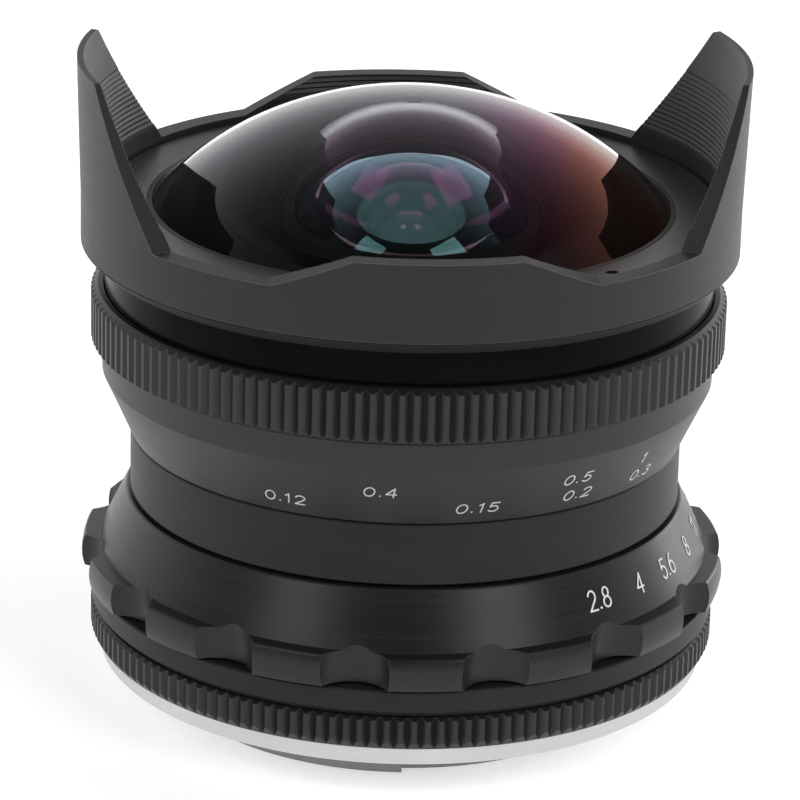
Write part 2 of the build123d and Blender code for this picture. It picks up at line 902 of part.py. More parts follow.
# Sleeve of the front group: threaded skirt, web and the gloss band that shows above the focus ring
with BuildPart() as front_sleeve:
    skirt_radius = helicoid_radius - run_gap
    web_bore_front = land_radius + joint_gap
    turn(
        [
            (skirt_radius - skirt_wall, skirt_low),
            (skirt_radius, skirt_low),
            (skirt_radius, web_low),
            (sleeve_radius, web_low),
            (sleeve_radius, sleeve_top),
            (sleeve_bore, sleeve_top),
            (sleeve_bore, web_top),
            (web_bore_front, web_top),
            (web_bore_front, web_low),
            (skirt_radius - skirt_wall, web_low),
        ]
    )
    for number in range(barrel_screw_count):
        screw_azimuth = number * 360 / barrel_screw_count
        with Locations(upward(screw_azimuth, barrel_screw_circle, web_top)):
            Hole(barrel_screw_radius + joint_gap, depth=barrel_screw_length - barrel_flange + joint_gap)
    for number in range(hood_screw_count):
        screw_azimuth = hood_screw_azimuth + number * 360 / hood_screw_count
        with Locations(upward(screw_azimuth, hood_screw_circle, sleeve_top)):
            Hole(
                hood_screw_radius + joint_gap,
                depth=hood_screw_length + joint_gap - hood_foot_height - rim_height,
            )
finish(front_sleeve, "front_sleeve")

# Optical barrel: iris chamber, keyed land, front bore, flange and the pocket of the second element
pocket_top = front_2 - fall(element_2_front, element_2_rim) + element_2_retainer_height + barrel_mouth
with BuildPart() as optical_barrel:
    pocket_radius = element_2_rim + run_gap
    turn(
        [
            (barrel_bore, barrel_low),
            (barrel_radius, barrel_low),
            (barrel_radius, chamber_top + barrel_step),
            (barrel_front_radius, chamber_top + barrel_step),
            (barrel_front_radius, land_low),
            (land_radius, land_low),
            (land_radius, land_low + land_height),
            (land_radius - land_wall, land_low + land_height),
            (land_radius - land_wall, land_low + land_wall),
            (barrel_front_radius, land_low + land_wall),
            (barrel_front_radius, web_top),
            (cell_radius, web_top),
            (cell_radius, flange_top),
            (pocket_radius + barrel_mouth, flange_top),
            (pocket_radius + barrel_mouth, pocket_top),
            (pocket_radius, pocket_top),
            (pocket_radius, pocket_low),
            (element_2_bore, pocket_low),
            (element_2_bore, pocket_low - barrel_mouth),
            (barrel_front_bore, pocket_low - barrel_mouth),
            (barrel_front_bore, lip_top),
            (barrel_lip_bore, lip_top),
            (barrel_lip_bore, chamber_top),
            (barrel_bore, chamber_top),
        ]
    )
    for number in range(key_count):
        notch = outward(number * 360 / key_count, key_inner_radius - run_gap, land_low + land_height / 2)
        with Locations(notch):
            Box(
                key_width + 2 * run_gap,
                land_height + 2 * overrun,
                land_radius,
                align=lowest,
                mode=Mode.SUBTRACT,
            )
    for number in range(barrel_screw_count):
        screw_azimuth = number * 360 / barrel_screw_count
        with Locations(upward(screw_azimuth, barrel_screw_circle, flange_top)):
            CounterBoreHole(
                radius=barrel_screw_radius + joint_gap,
                counter_bore_radius=barrel_screw_head + joint_gap,
                counter_bore_depth=barrel_screw_head_height,
                depth=barrel_flange + overrun,
            )
    ring_low = iris_top - drive_ring_gap - drive_ring_height
    arm_margin = degrees(asin(arm_width / 2 / (barrel_bore - iris_wall - joint_gap))) + arm_slot_margin
    arm_arc = aperture_throw_angle + 2 * arm_margin
    arm_slot = band(
        barrel_bore - iris_wall - overrun,
        barrel_radius + overrun,
        ring_low - run_gap,
        ring_low + drive_ring_height + run_gap,
    )
    turn(arm_slot, Mode.SUBTRACT, pin_azimuth - arm_margin, arm_arc)
finish(optical_barrel, "optical_barrel")

# Screws between the optical barrel and the sleeve
with BuildPart() as barrel_screws:
    for number in range(barrel_screw_count):
        screw_azimuth = number * 360 / barrel_screw_count
        with Locations(downward(screw_azimuth, barrel_screw_circle, flange_top)):
            Cylinder(barrel_screw_head, barrel_screw_head_height, align=lowest)
            Cylinder(barrel_screw_radius, barrel_screw_length, align=lowest)
finish(barrel_screws, "barrel_screws")

# Cell of the first element
with BuildPart() as front_cell:
    cell_shoulder_bore = element_1_rim - cell_ledge
    turn(
        [
            (cell_shoulder_bore, flange_top),
            (cell_radius, flange_top),
            (cell_radius, cell_top),
            (cell_bore, cell_top),
            (cell_bore, cell_seat),
            (cell_shoulder_bore, cell_seat),
        ]
    )
finish(front_cell, "front_cell")

# Tapered band at the foot of the hood
with BuildPart() as front_band:
    turn(
        [
            (rim_bore, sleeve_top),
            (rim_low_radius, sleeve_top),
            (hood_radius, rim_top - rim_groove),
            (hood_radius - rim_groove, rim_top),
            (rim_bore, rim_top),
        ]
    )
    for number in range(hood_screw_count):
        screw_azimuth = hood_screw_azimuth + number * 360 / hood_screw_count
        with Locations(upward(screw_azimuth, hood_screw_circle, rim_top)):
            Hole(hood_screw_radius + joint_gap, depth=rim_height + overrun)
finish(front_band, "front_band")

# Petal hood: a tube with a flared and grooved inside, cut to two short and two tall petals
with BuildPart() as hood:
    flare_low = rim_top + hood_bore_height
    hood_mouth = hood_top_radius - hood_mouth_wall
    flare = (hood_mouth - hood_bore) / (hood_top - flare_low)
    inside = [(hood_bore, rim_top + hood_foot_height), (hood_bore, flare_low)]
    for groove in range(hood_groove_count):
        groove_level = flare_low + (groove + 1) * hood_groove_height
        groove_middle = groove_level + hood_groove_height / 2
        land_radius_here = hood_bore + flare * (groove_level - flare_low)
        inside.append((land_radius_here, groove_level))
        inside.append((land_radius_here + hood_groove_depth, groove_middle))
    smooth_low = groove_level + hood_groove_height
    inside.append((hood_bore + flare * (smooth_low - flare_low), smooth_low))
    inside.append((hood_mouth, hood_top))
    turn(
        [
            (rim_bore, rim_top + hood_foot_height),
            (rim_bore, rim_top),
            (hood_radius - rim_groove, rim_top),
            (hood_radius, rim_top + rim_groove),
            (hood_radius, rim_top + valley_height),
            (hood_top_radius, hood_top),
            *reversed(inside),
        ]
    )
    valley = rim_top + valley_height
    short_top = rim_top + short_petal_height
    top_half = hood_radius * sin(radians(short_petal_half_angle))
    foot_half = hood_radius * sin(radians(short_petal_foot_angle))
    cut_half = hood_radius * sin(radians(short_cut_angle))
    short_gap = [
        (-cut_half, valley),
        (-foot_half, valley),
        (-top_half, short_top),
        (top_half, short_top),
        (foot_half, valley),
        (cut_half, valley),
        (cut_half, hood_top + overrun),
        (-cut_half, hood_top + overrun),
    ]
    for half_turn in (0, 180):
        with BuildSketch(outward(hood_turn_angle + half_turn)) as short_cut:
            with BuildLine():
                Polyline(*short_gap, close=True)
            make_face()
        extrude(short_cut.sketch, amount=hood_radius + overrun, mode=Mode.SUBTRACT)
    lean_over = tall_edge_lean * (1 + 2 * overrun / (hood_top - valley))
    tall_gap = hood_radius * sin(radians(tall_cut_angle))
    for half_turn in (0, 180):
        for side in (-1, 1):
            tall_plane = outward(hood_turn_angle + half_turn + side * tall_edge_angle, hood_radius / 2)
            with BuildSketch(tall_plane) as tall_cut:
                with BuildLine():
                    Polyline(
                        (-side * tall_gap, valley),
                        (-side * tall_edge_lean, valley),
                        (side * lean_over, hood_top + overrun),
                        (-side * tall_gap, hood_top + overrun),
                        close=True,
                    )
                make_face()
            extrude(tall_cut.sketch, amount=hood_radius / 2 + overrun, mode=Mode.SUBTRACT)
    for level in (short_top, hood_top):
        near_level = hood.edges().filter_by(GeomType.LINE).filter_by_position(
            Axis.Z, level - joint_gap, level + joint_gap
        )
        fillet(near_level, petal_fillet)
    for number in range(hood_screw_count):
        screw_azimuth = hood_screw_azimuth + number * 360 / hood_screw_count
        with Locations(upward(screw_azimuth, hood_screw_circle, rim_top + hood_foot_height)):
            CounterBoreHole(
                radius=hood_screw_radius + joint_gap,
                counter_bore_radius=hood_screw_head + joint_gap,
                counter_bore_depth=hood_screw_head_height,
                depth=hood_foot_height + overrun,
            )
finish(hood, "hood")

# Screws through the hood's foot and the band into the sleeve
with BuildPart() as hood_screws:
    for number in range(hood_screw_count):
        screw_azimuth = hood_screw_azimuth + number * 360 / hood_screw_count
        with Locations(downward(screw_azimuth, hood_screw_circle, rim_top + hood_foot_height)):
            Cylinder(hood_screw_head, hood_screw_head_height, align=lowest)
            Cylinder(hood_screw_radius, hood_screw_length, align=lowest)
finish(hood_screws, "hood_screws")

# Threaded ring over the rim of the first element, with two spanner holes
with BuildPart() as name_ring:
    name_radius = hood_bore - name_gap
    turn(
        [
            (cell_bore, cell_top),
            (name_radius, cell_top),
            (name_radius, name_top - fine_edge),
            (name_radius - fine_edge, name_top),
            (name_bore, name_top - name_slope),
            (name_bore, dome(name_bore) + seal_gap),
        ]
    )
    for azimuth in spanner_azimuths:
        with Locations(upward(azimuth, name_bore + spanner_inset, name_top)):
            Hole(spanner_radius, depth=spanner_depth)
finish(name_ring, "name_ring")

# Black seal between that ring and the dome
with BuildPart() as front_seal:
    seal_outer = name_bore - joint_gap
    seal_inner = seal_outer - seal_width
    turn(
        [
            (seal_inner, dome(seal_inner) + joint_gap),
            (seal_outer, dome(seal_outer) + joint_gap),
            (seal_outer, name_top - name_slope),
        ]
    )
finish(front_seal, "front_seal")

# First element, the deep meniscus of the dome
with BuildPart() as element_1:
    glass(element_1_rim, element_1_front, front_1, element_1_back, back_1, element_1_back_rim)
finish(element_1, "element_1")

# Second element, seated in the pocket of the barrel, and the ring that holds it
with BuildPart() as element_2:
    glass(element_2_rim, element_2_front, front_2, element_2_back, back_2, element_2_back_rim)
finish(element_2, "element_2")

with BuildPart() as element_2_retainer:
    held_rim = element_2_rim
    inner_rim = held_rim - element_2_retainer_width
    turn(
        [
            (held_rim, front_2 - fall(element_2_front, held_rim) + seal_gap),
            (held_rim, pocket_top),
            (inner_rim, pocket_top),
            (inner_rim, front_2 - fall(element_2_front, inner_rim) + seal_gap),
        ]
    )
finish(element_2_retainer, "element_2_retainer")

# Front bore: the cemented third and fourth elements, a spacer, and the fifth element on the lip
with BuildPart() as element_3:
    glass(front_rim, element_3_front, front_3, element_3_back, back_3)
finish(element_3, "element_3")

with BuildPart() as element_4:
    glass(front_rim, element_3_back, front_4, element_4_back, back_4)
finish(element_4, "element_4")

with BuildPart() as element_5:
    glass(front_rim, element_5_front, front_5, element_5_back, back_5)
finish(element_5, "element_5")

with BuildPart() as front_spacer:
    spacer_low = before(front_5, element_5_front, front_rim)
    spacer_high = behind(back_4, element_4_back, front_rim)
    turn(band(front_rim - spacer_wall, front_rim, spacer_low, spacer_high))
finish(front_spacer, "front_spacer")

with BuildPart() as element_3_retainer:
    turn(band(front_rim - spacer_wall, front_rim, edge_3, pocket_low - barrel_mouth))
finish(element_3_retainer, "element_3_retainer")

# Rear cell: stepped tube with the seat of the last element and a threaded skirt
with BuildPart() as rear_cell:
    skirt_outer = barrel_bore - joint_gap
    turn(
        [
            (rear_cell_lip_bore, rear_cell_low),
            (rear_cell_radius, rear_cell_low),
            (rear_cell_radius, iris_low - rear_cell_web),
            (skirt_outer - rear_cell_skirt, iris_low - rear_cell_web),
            (skirt_outer - rear_cell_skirt, barrel_low),
            (skirt_outer, barrel_low),
            (skirt_outer, iris_low),
            (rear_bore, iris_low),
            (rear_bore, rear_ledge),
            (rear_cell_lip_bore, rear_ledge),
        ]
    )
finish(rear_cell, "rear_cell")

# Elements of the rear cell, from the front to the last one
with BuildPart() as element_6:
    glass(rear_rim, element_6_front, front_6, element_7_front, back_6)
finish(element_6, "element_6")

with BuildPart() as element_7:
    glass(rear_rim, element_7_front, front_7, element_7_back, back_7)
finish(element_7, "element_7")

with BuildPart() as element_8:
    glass(rear_rim, element_8_front, front_8, element_8_back, back_8)
finish(element_8, "element_8")

with BuildPart() as element_9:
    glass(rear_rim, element_9_front, front_9, element_9_back, back_9)
finish(element_9, "element_9")

with BuildPart() as element_10:
    glass(rear_rim, element_9_back, front_10, element_10_back, back_10)
finish(element_10, "element_10")

with BuildPart() as element_11:
    glass(rear_rim, element_11_front, front_11, element_11_back, back_11)
finish(element_11, "element_11")

with BuildPart() as rear_spacer_1:
    spacer_low = before(front_9, element_9_front, rear_rim)
    spacer_high = behind(back_8, element_8_back, rear_rim)
    turn(band(rear_rim - spacer_wall, rear_rim, spacer_low, spacer_high))
finish(rear_spacer_1, "rear_spacer_1")

with BuildPart() as rear_spacer_2:
    spacer_low = before(front_11, element_11_front, rear_rim)
    spacer_high = behind(back_10, element_10_back, rear_rim)
    turn(band(rear_rim - spacer_wall, rear_rim, spacer_low, spacer_high))
finish(rear_spacer_2, "rear_spacer_2")

with BuildPart() as rear_retainer:
    turn(band(rear_rim - spacer_wall, rear_rim, edge_6, edge_6 + rear_retainer_height))
finish(rear_retainer, "rear_retainer")

# Iris housing: plate with twelve pivot holes, and a wall with the slot of the drive arm
with BuildPart() as iris_housing:
    housing_radius = barrel_bore - joint_gap
    turn(
        [
            (iris_hole, iris_low),
            (housing_radius, iris_low),
            (housing_radius, iris_top),
            (housing_radius - iris_wall, iris_top),
            (housing_radius - iris_wall, iris_low + iris_plate),
            (iris_hole, iris_low + iris_plate),
        ]
    )
    for number in range(blade_count):
        with Locations(upward(number * 360 / blade_count, blade_pivot_circle, iris_low + iris_plate)):
            Hole(blade_pin_radius + blade_pin_gap, depth=iris_plate + overrun)
    turn(arm_slot, Mode.SUBTRACT, pin_azimuth - arm_margin, arm_arc)
finish(iris_housing, "iris_housing")

# Cover of the iris, clamped between the housing and the barrel
with BuildPart() as iris_cover:
    turn(band(iris_hole, housing_radius, iris_top, iris_top + iris_cover_height))
finish(iris_cover, "iris_cover")

# Path of a leaf's drive pin. The open leaf has its tail at blade_tail_angle, and closing swings it
# about its pivot while the drive ring turns back by the whole throw.
tail_x = blade_tail_radius * cos(radians(blade_tail_angle)) - blade_pivot_circle
tail_y = blade_tail_radius * sin(radians(blade_tail_angle))


def cam_point(share):
    """Where the drive pin stands on the resting ring, from closed at 0 to open at 1."""
    swing = radians(blade_swing_angle * (share - 1))
    x = blade_pivot_circle + tail_x * cos(swing) - tail_y * sin(swing)
    y = tail_x * sin(swing) + tail_y * cos(swing)
    back = radians(-aperture_throw_angle * share)
    return (x * cos(back) - y * sin(back), x * sin(back) + y * cos(back))


# Drive ring of the iris: twelve cam slots, and an arm that ends in a fork round the aperture pin
with BuildPart() as iris_ring:
    turn(band(drive_ring_bore, drive_ring_radius, ring_low, ring_low + drive_ring_height))
    cam_width = 2 * (blade_pin_radius + blade_pin_gap)
    for number in range(blade_count):
        with BuildSketch(upward(number * 360 / blade_count, 0, ring_low)) as cam:
            with BuildLine():
                cam_line = ThreePointArc(cam_point(0), cam_point(0.5), cam_point(1))
            SlotArc(cam_line, cam_width)
        extrude(cam.sketch, amount=drive_ring_height + overrun, mode=Mode.SUBTRACT)
    arm_root = drive_ring_radius - blade_ear
    with Locations(outward(pin_azimuth, arm_root, ring_low + drive_ring_height / 2)):
        Box(arm_width, drive_ring_height, arm_radius - arm_root, align=lowest)
    fork_low = pin_level - fork_end
    with Locations(outward(pin_azimuth, fork_inner, ring_low + drive_ring_height)):
        Box(
            fork_width,
            ring_low + drive_ring_height - fork_low,
            arm_radius - fork_inner,
            align=(Align.CENTER, Align.MAX, Align.MIN),
        )
    with Locations(outward(pin_azimuth, fork_inner - overrun, fork_low - overrun)):
        Box(
            2 * (pin_radius + run_gap),
            fork_slot_height + overrun,
            arm_radius,
            align=(Align.CENTER, Align.MIN, Align.MIN),
            mode=Mode.SUBTRACT,
        )
finish(iris_ring, "iris_ring")

# Twelve leaves, each in a layer of its own, with a pivot pin behind it and a drive pin before it.
# The sketch has the pivot at its origin and the open leaf's centre on its -x side.
for number in range(blade_count):
    pivot_azimuth = number * 360 / blade_count
    layer = iris_low + iris_plate + blade_first_gap + number * blade_layer_height
    pivot = spot(blade_pivot_circle, pivot_azimuth, layer)
    closed_x = spot(1, pivot_azimuth - blade_swing_angle)
    with BuildPart() as iris_blade:
        with BuildSketch(Plane(origin=pivot, x_dir=closed_x, z_dir=(0, 0, 1))):
            with BuildLine():
                centre = (-blade_pivot_circle, 0)
                outer = CenterArc(centre, blade_outer, -blade_sweep_angle, blade_sweep_angle)
                inner = CenterArc(centre, blade_inner, -blade_sweep_angle, blade_sweep_angle)
                Line(outer @ 0, inner @ 0)
                Line(outer @ 1, inner @ 1)
            make_face()
            Circle(blade_ear)
            with BuildLine():
                tail = Line((0, 0), (tail_x, tail_y))
            trace(tail, blade_tail_width)
            with Locations((tail_x, tail_y)):
                Circle(blade_tail_width / 2)
        extrude(amount=blade_thickness)
        with BuildSketch(Plane(origin=pivot, z_dir=(0, 0, -1))):
            Circle(blade_pin_radius)
        extrude(amount=layer - iris_low - blade_first_gap)
        with BuildSketch(Plane(origin=pivot, x_dir=closed_x, z_dir=(0, 0, 1))):
            with Locations((tail_x, tail_y)):
                Circle(blade_pin_radius)
        extrude(amount=ring_low + drive_ring_height - blade_pin_gap - layer)
    finish(iris_blade, f"iris_blade_{number + 1:02d}")
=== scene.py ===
import math

import bmesh
import bpy
from mathutils import Matrix, Vector


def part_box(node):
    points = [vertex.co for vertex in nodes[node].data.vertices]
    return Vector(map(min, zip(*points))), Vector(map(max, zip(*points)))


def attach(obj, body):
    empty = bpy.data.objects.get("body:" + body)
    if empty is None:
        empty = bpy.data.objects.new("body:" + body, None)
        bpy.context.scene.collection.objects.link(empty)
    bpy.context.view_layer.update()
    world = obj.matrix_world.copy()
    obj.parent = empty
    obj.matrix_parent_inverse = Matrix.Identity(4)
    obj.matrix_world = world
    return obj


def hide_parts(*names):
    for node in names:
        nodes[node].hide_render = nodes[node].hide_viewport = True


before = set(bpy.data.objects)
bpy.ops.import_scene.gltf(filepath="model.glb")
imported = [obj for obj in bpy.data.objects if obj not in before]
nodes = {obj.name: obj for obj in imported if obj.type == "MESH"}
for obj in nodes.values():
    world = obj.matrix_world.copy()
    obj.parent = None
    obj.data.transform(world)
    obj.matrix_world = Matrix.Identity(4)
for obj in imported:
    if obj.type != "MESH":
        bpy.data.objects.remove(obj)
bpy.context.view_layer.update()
scene = bpy.context.scene
mm = 0.001
print("frame loaded,", len(nodes), "nodes")


class Wire:
    # one output socket, so that sums on it read as plain Python
    def __init__(self, tree, made, output):
        self.tree = tree
        self.made = made
        self.socket = made.outputs[output] if output is not None else None

    def other(self, output):
        return Wire(self.tree, self.made, output)

    def math(self, operation, first, second):
        return self.tree.node("ShaderNodeMath", {"operation": operation}, {0: first, 1: second})

    def __add__(self, other):
        return self.math("ADD", self, other)

    def __radd__(self, other):
        return self.math("ADD", other, self)

    def __sub__(self, other):
        return self.math("SUBTRACT", self, other)

    def __rsub__(self, other):
        return self.math("SUBTRACT", other, self)

    def __mul__(self, other):
        return self.math("MULTIPLY", self, other)

    def __rmul__(self, other):
        return self.math("MULTIPLY", other, self)


def grey(value, warm=0.0):
    return (value * (1 + warm), value, value * (1 - warm), 1.0)


class Tree:
    # a node tree, emptied, whose nodes all come from one method
    def __init__(self, tree):
        self.tree = tree
        tree.nodes.clear()

    def node(self, kind, settings=None, inputs=None, output=0):
        made = self.tree.nodes.new(kind)
        for name, value in (settings or {}).items():
            if name == "stops":
                stops = made.color_ramp.elements
                while len(stops) < len(value):
                    stops.new(1.0)
                for stop, (place, shade) in zip(stops, value):
                    stop.position = place
                    stop.color = shade
            else:
                setattr(made, name, value)
        for name, value in (inputs or {}).items():
            self.feed(made.inputs[name], value)
        return Wire(self, made, output)

    def feed(self, socket, value):
        if isinstance(value, Wire):
            self.tree.links.new(value.socket, socket)
        else:
            socket.default_value = value

    def place(self):
        return self.node("ShaderNodeTexCoord", output="Object")

    def split(self, vector):
        first = self.node("ShaderNodeSeparateXYZ", {}, {0: vector})
        return first, first.other(1), first.other(2)

    def length(self, vector):
        return self.node("ShaderNodeVectorMath", {"operation": "LENGTH"}, {0: vector}, 1)

    def fromAxis(self):
        # the way from the object's axis, without its height
        return self.node("ShaderNodeVectorMath", {"operation": "MULTIPLY"}, {0: self.place(), 1: (1, 1, 0)})

    def noise(self, vector, scale, detail=2.0, roughness=0.5):
        return self.node("ShaderNodeTexNoise", {}, {
            "Vector": vector, "Scale": scale, "Detail": detail, "Roughness": roughness})

    def ramp(self, value, low, high, first, second):
        # a straight run from first to second while value goes from low to high
        return self.node("ShaderNodeMapRange", {"clamp": True}, {
            "Value": value, "From Min": low, "From Max": high, "To Min": first, "To Max": second})

    def spread(self, noise, first, second):
        # noise seldom leaves this range, so it is stretched over both values
        return self.ramp(noise, 0.3, 0.7, first, second)

    def shades(self, value, stops):
        return self.node("ShaderNodeValToRGB", {"stops": stops}, {"Fac": value})

    def levels(self, value, stops):
        return self.shades(value, [(at, grey(level)) for at, level in stops])

    def blend(self, factor, first, second, kind="MIX"):
        return self.node("ShaderNodeMix", {"data_type": "RGBA", "blend_type": kind}, {
            0: factor, 6: first, 7: second}, 2)

    def turned(self, lines, along=2.5):
        # fine rings round the axis, as a lathe leaves them, each only a little uneven along its run
        flat = self.fromAxis()
        headX, headY = self.split(self.node("ShaderNodeVectorMath", {"operation": "NORMALIZE"}, {0: flat}))[:2]
        height = self.split(self.place())[2]
        return self.noise(self.node("ShaderNodeCombineXYZ", {}, {
            0: headX * along, 1: headY * along, 2: (height + self.length(flat)) * lines}), 1.0, 3.0, 0.6)

    def litBackground(self):
        # 1 for the rays that see the backdrop itself, in the picture, in a reflection or through glass
        path = self.node("ShaderNodeLightPath", output="Is Camera Ray")
        either = path.math("MAXIMUM", path, path.other("Is Glossy Ray"))
        return path.math("MAXIMUM", either, path.other("Is Transmission Ray"))


class Finish(Tree):
    # one material, the shader's fixed values set on its own sockets
    def __init__(self, name, fixed):
        self.material = bpy.data.materials.new(name)
        self.material.use_nodes = True
        super().__init__(self.material.node_tree)
        self.body = self.node("ShaderNodeBsdfPrincipled", {}, fixed)
        self.output = self.node("ShaderNodeOutputMaterial", {}, {0: self.body}, None)

    def set(self, name, value):
        self.feed(self.body.made.inputs[name], value)

    def wear(self, shader):
        # what the surface shows instead of the bare shader
        self.feed(self.output.made.inputs[0], shader)

    def rounded(self, radius):
        return self.node("ShaderNodeBevel", {"samples": 6}, {"Radius": radius})

    def bump(self, height, distance, strength=1.0, rounding=0):
        values = {"Height": height, "Distance": distance, "Strength": strength}
        if rounding:
            values["Normal"] = self.rounded(rounding)
        self.set("Normal", self.node("ShaderNodeBump", {}, values))


# what all the dyed aluminium has in common
dyeLook = {
    "cloudScale": 90.0, "grainShare": 0.5, "cloudShare": 0.25, "toneRun": (0.3, 0.8),
    "darkTint": -0.03, "lightTint": -0.02,  # both a little blue
    # where the rounded normal parts from the true one, the colour turns to the painted edge highlight
    "edgeRun": (0.9, 0.99), "grainRelief": 0.7,
}


def blackAnodised(name, values):
    # bead-blasted and dyed aluminium with faint tool marks under the dye
    finish = Finish(name, {"Specular IOR Level": values["gloss"]})
    rounding = values["rounding"] * mm
    grain = finish.noise(finish.place(), values["grain"], 3.0, 0.6)
    marks = finish.turned(values["lines"])
    cloud = finish.noise(finish.place(), dyeLook["cloudScale"])
    tone = grain * dyeLook["grainShare"] + marks * values["markShare"] + cloud * dyeLook["cloudShare"]
    color = finish.blend(finish.ramp(tone, *dyeLook["toneRun"], 0.0, 1.0),
                         grey(values["dark"], dyeLook["darkTint"]), grey(values["light"], dyeLook["lightTint"]))
    if "edge" in values:
        # painted highlight: sharp edges are lightened in colour where a rounded normal parts from the true one
        bare = finish.node("ShaderNodeNewGeometry", output="Normal")
        agreement = finish.node("ShaderNodeVectorMath", {"operation": "DOT_PRODUCT"}, {
            0: finish.rounded(rounding), 1: bare}, 1)
        color = finish.blend(finish.ramp(agreement, *dyeLook["edgeRun"], 1.0, 0.0), color, grey(values["edge"]))
    finish.set("Base Color", color)
    finish.set("Roughness", finish.spread(marks * 0.5 + grain * 0.5, values["smooth"], values["rough"]))
    relief = grain * dyeLook["grainRelief"] + marks * values["markShare"]
    finish.bump(relief, values["relief"] * mm, 1.0, rounding)
    return finish


# grain and lines are repeats a metre, relief and rounding are in mm, and edge is the grey of the painted
# highlight along sharp edges
bodyBlack = blackAnodised("bodyBlack", {
    "gloss": 0.22, "grain": 7000.0, "lines": 5000.0, "markShare": 0.35, "dark": 0.01, "light": 0.026,
    "smooth": 0.38, "rough": 0.52, "relief": 0.006, "rounding": 0.1})
knurlBlack = blackAnodised("knurlBlack", {
    "gloss": 0.5, "grain": 8000.0, "lines": 4000.0, "markShare": 0.15, "dark": 0.004, "light": 0.012,
    "smooth": 0.34, "rough": 0.46, "relief": 0.004, "rounding": 0.07})
coneBlack = blackAnodised("coneBlack", {
    "gloss": 0.38, "grain": 7000.0, "lines": 6500.0, "markShare": 0.6, "dark": 0.005, "light": 0.014,
    "edge": 0.05, "smooth": 0.28, "rough": 0.4, "relief": 0.005, "rounding": 0.1})
hoodBlack = blackAnodised("hoodBlack", {
    "gloss": 0.35, "grain": 6500.0, "lines": 5000.0, "markShare": 0.2, "dark": 0.01, "light": 0.026,
    "edge": 0.16, "smooth": 0.4, "rough": 0.55, "relief": 0.007, "rounding": 0.12})
ringBlack = blackAnodised("ringBlack", {
    "gloss": 0.5, "grain": 7000.0, "lines": 5500.0, "markShare": 0.4, "dark": 0.008, "light": 0.02,
    "smooth": 0.3, "rough": 0.42, "relief": 0.005, "rounding": 0.08})
innerBlack = blackAnodised("innerBlack", {
    "gloss": 0.12, "grain": 6000.0, "lines": 3500.0, "markShare": 0.4, "dark": 0.001, "light": 0.004,
    "smooth": 0.5, "rough": 0.7, "relief": 0.006, "rounding": 0})

sleeveLook = {
    "lines": 9000.0, "smear": 160.0, "dark": 0.002, "light": 0.004, "markShare": 0.6, "smearShare": 0.4,
    "smooth": 0.16, "rough": 0.26, "coat": (0.04, 0.1), "relief": 0.001,
}


def polishedBlack():
    # polished black sleeve with hairline rings
    look = sleeveLook
    finish = Finish("glossBlack", {"Specular IOR Level": 0.03, "Coat Roughness": 0.08, "Coat IOR": 1.2})
    marks = finish.turned(look["lines"])
    smear = finish.noise(finish.place(), look["smear"], 3.0)
    finish.set("Base Color", finish.blend(smear, grey(look["dark"]), grey(look["light"])))
    finish.set("Roughness", finish.spread(
        marks * look["markShare"] + smear * look["smearShare"], look["smooth"], look["rough"]))
    finish.set("Coat Weight", finish.spread(smear, *look["coat"]))
    finish.bump(marks, look["relief"] * mm)
    return finish


glossBlack = polishedBlack()

# what all the bare metal has in common
metalLook = {
    "cloudScale": 120.0, "markTone": 0.45, "grainTone": 0.3, "cloudTone": 0.25, "cloudRun": (0.2, 0.8),
    "markRelief": 0.6, "grainRelief": 0.4,
    # painted shade: below the mount face the metal's colour is darkened, as if in the flange's shade, with no
    # shadow that causes it
    "paintedShadeRun": (-0.3 * mm, 0.0),  # the turned collar begins just under the mount face
}


def metal(name, values):
    # bare turned metal: rings of the tool, a clouded tone and a fine grain
    finish = Finish(name, {})
    marks = finish.turned(values["lines"])
    grain = finish.noise(finish.place(), values["grain"], 3.0, 0.65)
    cloud = finish.noise(finish.place(), metalLook["cloudScale"], 3.0)
    tone = marks * metalLook["markTone"] + grain * metalLook["grainTone"] + cloud * metalLook["cloudTone"]
    shade = finish.blend(finish.spread(tone, 0.0, 1.0), values["dark"], values["light"])
    # painted shade: under the mount face the colour is multiplied darker
    if "paintedShadeBelow" in values:
        paintedShadeMask = finish.ramp(finish.split(finish.place())[2], *metalLook["paintedShadeRun"], 1.0, 0.0)
        shade = finish.blend(paintedShadeMask, shade, values["paintedShadeBelow"], "MULTIPLY")
    finish.set("Base Color", shade)
    finish.set("Metallic", finish.ramp(cloud, *metalLook["cloudRun"], values["metallic"], 1.0))
    uneven = marks * metalLook["markRelief"] + grain * metalLook["grainRelief"]
    finish.set("Roughness", finish.spread(uneven, values["smooth"], values["rough"]))
    relief = uneven * (values["relief"] * mm)
    if "thread" in values:
        # crests of a fine thread, this far apart in mm
        height = finish.split(finish.place())[2]
        relief = relief + height.math("PINGPONG", height, values["thread"] / 2 * mm)
    finish.bump(relief, 1.0, 1.0, values["rounding"] * mm)
    return finish


